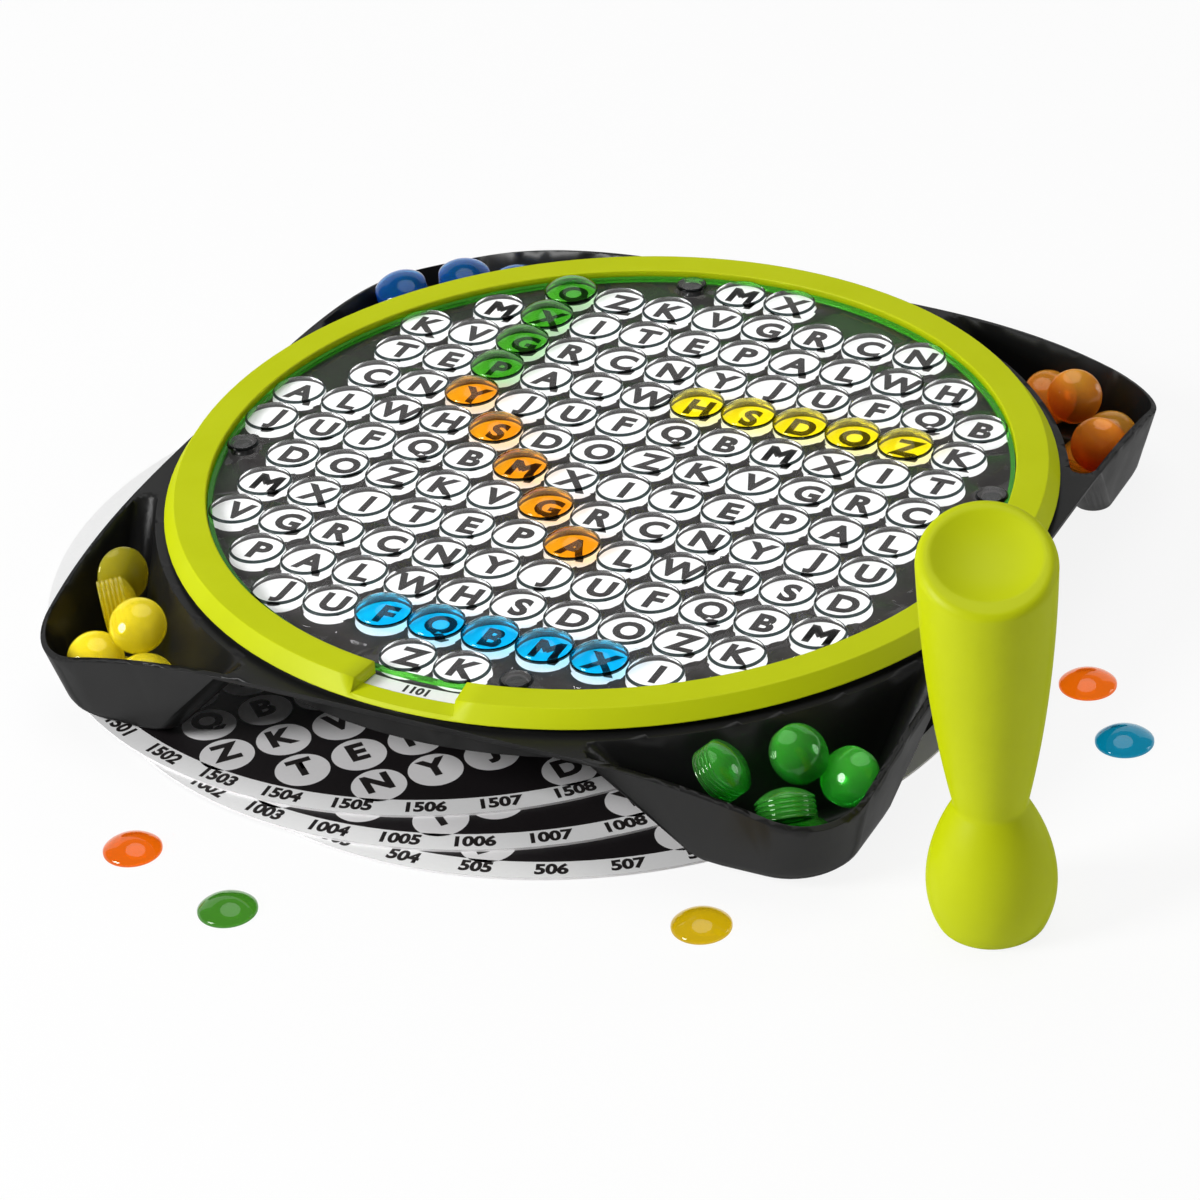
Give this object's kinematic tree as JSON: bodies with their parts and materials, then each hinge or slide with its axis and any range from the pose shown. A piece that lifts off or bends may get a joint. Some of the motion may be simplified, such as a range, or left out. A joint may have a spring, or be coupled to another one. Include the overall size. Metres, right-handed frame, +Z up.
{
  "type": "word search board game",
  "caption": "Letter grid board game: square tray with corner token trays, puzzle disc, clear cupped cover, turning ring with a window, domed tokens, totem and spare discs.",
  "frame": {"origin": "turning axis of the ring, on the table top", "axes": "+Z up along the ring's axis; rows of cells run along X; the ring's window is on the -Y side"},
  "size_m": [0.313, 0.2886, 0.1064],
  "materials": {
    "black_plastic": "satin",
    "lime_plastic": "satin",
    "clear_plastic": "gloss",
    "board_card": "coated card",
    "spare_card": "coated card",
    "blue_token_plastic": "gloss",
    "yellow_token_plastic": "gloss",
    "green_token_plastic": "gloss",
    "orange_token_plastic": "gloss"
  },
  "bodies": {
    "base": {"base_tray": "black_plastic"},
    "puzzle_disc": {"puzzle_disc": "board_card"},
    "cover": {"clear_cover": "clear_plastic"},
    "ring": {"turning_ring": "lime_plastic"},
    "blue_word": {"blue_token_1": "blue_token_plastic", "blue_token_2": "blue_token_plastic", "blue_token_3": "blue_token_plastic", "blue_token_4": "blue_token_plastic", "blue_token_5": "blue_token_plastic"},
    "yellow_word": {"yellow_token_1": "yellow_token_plastic", "yellow_token_2": "yellow_token_plastic", "yellow_token_3": "yellow_token_plastic", "yellow_token_4": "yellow_token_plastic", "yellow_token_5": "yellow_token_plastic"},
    "green_word": {"green_token_1": "green_token_plastic", "green_token_2": "green_token_plastic", "green_token_3": "green_token_plastic", "green_token_4": "green_token_plastic"},
    "orange_word": {"orange_token_1": "orange_token_plastic", "orange_token_2": "orange_token_plastic", "orange_token_3": "orange_token_plastic", "orange_token_4": "orange_token_plastic", "orange_token_5": "orange_token_plastic"},
    "green_heap": {"green_heap": "green_token_plastic"},
    "yellow_heap": {"yellow_heap": "yellow_token_plastic"},
    "orange_heap": {"orange_heap": "orange_token_plastic"},
    "blue_heap": {"blue_heap": "blue_token_plastic"},
    "loose_blue_token": {"loose_blue_token": "blue_token_plastic"},
    "loose_green_token": {"loose_green_token": "green_token_plastic"},
    "loose_orange_token_1": {"loose_orange_token_1": "orange_token_plastic"},
    "loose_orange_token_2": {"loose_orange_token_2": "orange_token_plastic"},
    "loose_yellow_token": {"loose_yellow_token": "yellow_token_plastic"},
    "totem": {"totem": "lime_plastic"},
    "spare_disc_1": {"spare_disc_1": "spare_card"},
    "spare_disc_2": {"spare_disc_2": "spare_card"},
    "spare_disc_3": {"spare_disc_3": "spare_card"}
  },
  "joints": [
    {"name": "puzzle_disc_lift", "type": "slide", "parent": "base", "child": "puzzle_disc", "axis": [0, 0, 1], "range_m": [0, 0.03]},
    {"name": "cover_lift", "type": "slide", "parent": "puzzle_disc", "child": "cover", "axis": [0, 0, 1], "range_m": [0, 0.05]},
    {"name": "ring_turn", "type": "hinge", "parent": "cover", "child": "ring", "pos_m": [0, 0, 0.0353], "axis": [0, 0, 1], "continuous": true},
    {"name": "blue_word_lift", "type": "slide", "parent": "cover", "child": "blue_word", "axis": [0, 0, 1], "range_m": [0, 0.03]},
    {"name": "yellow_word_lift", "type": "slide", "parent": "cover", "child": "yellow_word", "axis": [0, 0, 1], "range_m": [0, 0.03]},
    {"name": "green_word_lift", "type": "slide", "parent": "cover", "child": "green_word", "axis": [0, 0, 1], "range_m": [0, 0.03]},
    {"name": "orange_word_lift", "type": "slide", "parent": "cover", "child": "orange_word", "axis": [0, 0, 1], "range_m": [0, 0.03]},
    {"name": "green_heap_lift", "type": "slide", "parent": "base", "child": "green_heap", "axis": [0, 0, 1], "range_m": [0, 0.04]},
    {"name": "yellow_heap_lift", "type": "slide", "parent": "base", "child": "yellow_heap", "axis": [0, 0, 1], "range_m": [0, 0.04]},
    {"name": "orange_heap_lift", "type": "slide", "parent": "base", "child": "orange_heap", "axis": [0, 0, 1], "range_m": [0, 0.04]},
    {"name": "blue_heap_lift", "type": "slide", "parent": "base", "child": "blue_heap", "axis": [0, 0, 1], "range_m": [0, 0.04]},
    {"name": "loose_blue_token_lift", "type": "slide", "parent": "base", "child": "loose_blue_token", "axis": [0, 0, 1], "range_m": [0, 0.03]},
    {"name": "loose_green_token_lift", "type": "slide", "parent": "base", "child": "loose_green_token", "axis": [0, 0, 1], "range_m": [0, 0.03]},
    {"name": "loose_orange_token_1_lift", "type": "slide", "parent": "base", "child": "loose_orange_token_1", "axis": [0, 0, 1], "range_m": [0, 0.03]},
    {"name": "loose_orange_token_2_lift", "type": "slide", "parent": "base", "child": "loose_orange_token_2", "axis": [0, 0, 1], "range_m": [0, 0.03]},
    {"name": "loose_yellow_token_lift", "type": "slide", "parent": "base", "child": "loose_yellow_token", "axis": [0, 0, 1], "range_m": [0, 0.03]},
    {"name": "totem_lift", "type": "slide", "parent": "base", "child": "totem", "axis": [0, 0, 1], "range_m": [0, 0.1]},
    {"name": "spare_disc_1_slide", "type": "slide", "parent": "base", "child": "spare_disc_1", "axis": [-1, 0, 0], "range_m": [0, 0.25]},
    {"name": "spare_disc_2_slide", "type": "slide", "parent": "base", "child": "spare_disc_2", "axis": [-1, 0, 0], "range_m": [0, 0.25]},
    {"name": "spare_disc_3_slide", "type": "slide", "parent": "base", "child": "spare_disc_3", "axis": [-1, 0, 0], "range_m": [0, 0.25]}
  ]
}
